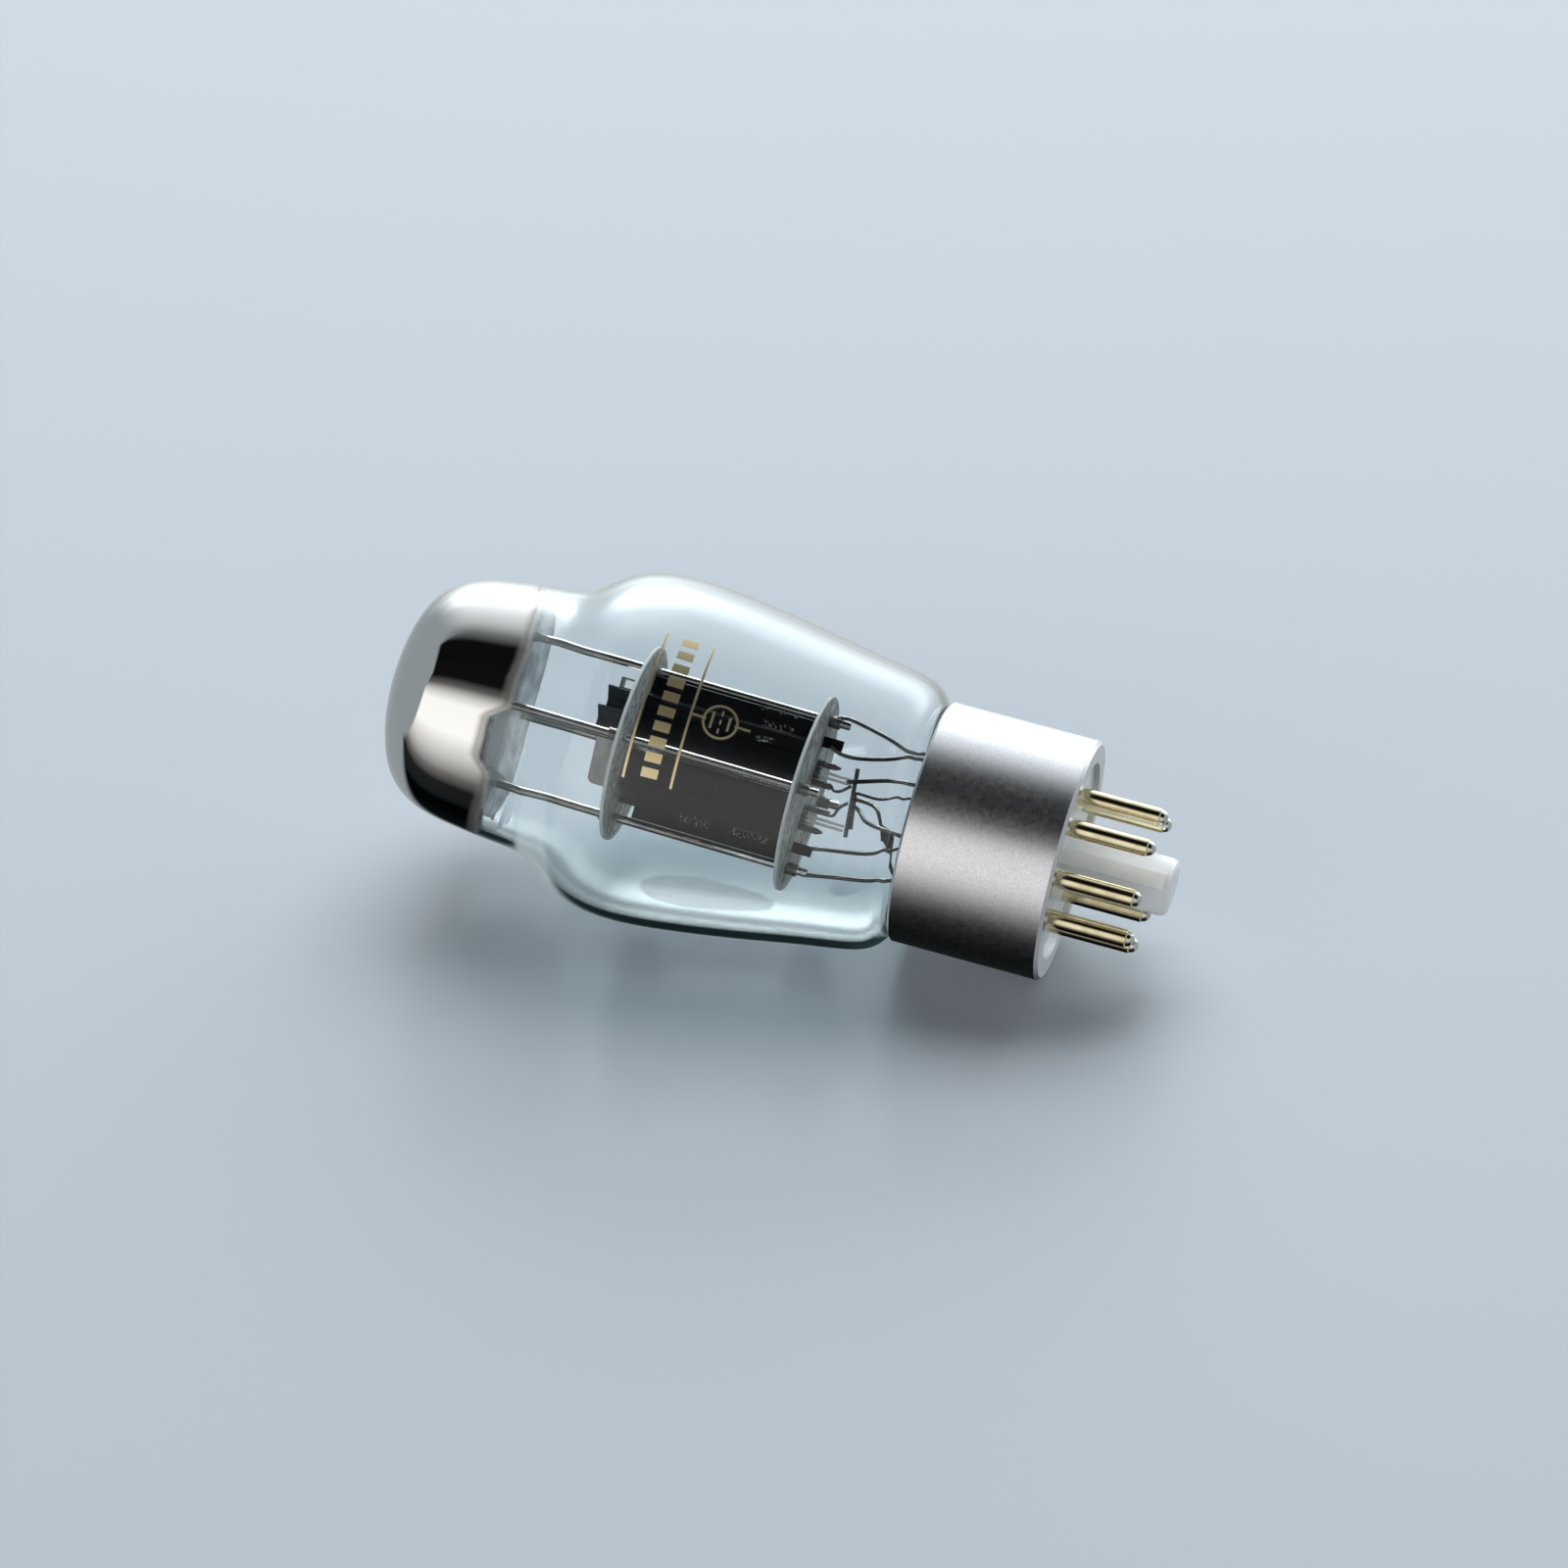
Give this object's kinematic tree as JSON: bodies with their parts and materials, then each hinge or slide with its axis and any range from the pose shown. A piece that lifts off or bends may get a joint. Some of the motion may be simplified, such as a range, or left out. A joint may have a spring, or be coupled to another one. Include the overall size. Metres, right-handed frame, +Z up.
{
  "type": "vacuum tube",
  "caption": "Shouldered clear glass vacuum tube with a mirrored crown, black-plate twin triode cage, satin metal base sleeve and octal pins.",
  "frame": {"origin": "centre of the base sleeve's pin-side rim, in the plane of that rim, which is the tube's seating plane", "axes": "+Z runs up the tube from the pins to the mirrored crown, the key ridge of the base faces -Y, and +X completes a right-handed frame"},
  "size_m": [0.0456, 0.0456, 0.1052],
  "materials": {
    "clear_glass": "clear soda glass, faintly blue green at the edges",
    "mirror_film": "evaporated metal mirror",
    "mica": "sheet mica, pale grey, semi-translucent, slightly flaky edge",
    "carbonised_metal": "carbonised black, satin, with pale weld flecks",
    "bright_nickel": "bright drawn nickel",
    "dull_nickel": "dull heat-tinted nickel",
    "white_coating": "white alumina coating",
    "satin_aluminium": "bead-blasted satin",
    "white_insulator": "white, faintly translucent",
    "gold_plate": "polished gold plating over brass",
    "solder": "smooth tinned and gold-flashed tip",
    "cement": "grey-buff base cement"
  },
  "bodies": {
    "root": {"anode_a": "carbonised_metal", "anode_b": "carbonised_metal", "anode_strap": "bright_nickel", "base_cement": "cement", "base_pins": "gold_plate", "base_sleeve": "satin_aluminium", "base_wafer": "white_insulator", "bottom_mica": "mica", "cathode_a": "dull_nickel", "cathode_b": "dull_nickel", "exhaust_tube": "clear_glass", "getter_film": "mirror_film", "getter_ring_a": "dull_nickel", "getter_ring_b": "dull_nickel", "glass_envelope": "clear_glass", "glass_stem": "clear_glass", "grid_a": "dull_nickel", "grid_b": "dull_nickel", "grid_fin_a": "carbonised_metal", "grid_fin_b": "bright_nickel", "grid_link_a": "dull_nickel", "grid_link_b": "dull_nickel", "heater_a": "white_coating", "heater_b": "white_coating", "heater_jumper": "dull_nickel", "lead_1": "bright_nickel", "lead_2": "bright_nickel", "lead_3": "bright_nickel", "lead_4": "bright_nickel", "lead_5": "bright_nickel", "lead_6": "bright_nickel", "lead_7": "bright_nickel", "lead_8": "bright_nickel", "pin_solder": "solder", "rod_collars": "dull_nickel", "spacer_mica": "mica", "support_rod_a": "bright_nickel", "support_rod_b": "bright_nickel", "support_rod_c": "bright_nickel", "support_rod_d": "bright_nickel", "top_mica": "mica"}
  },
  "joints": []
}
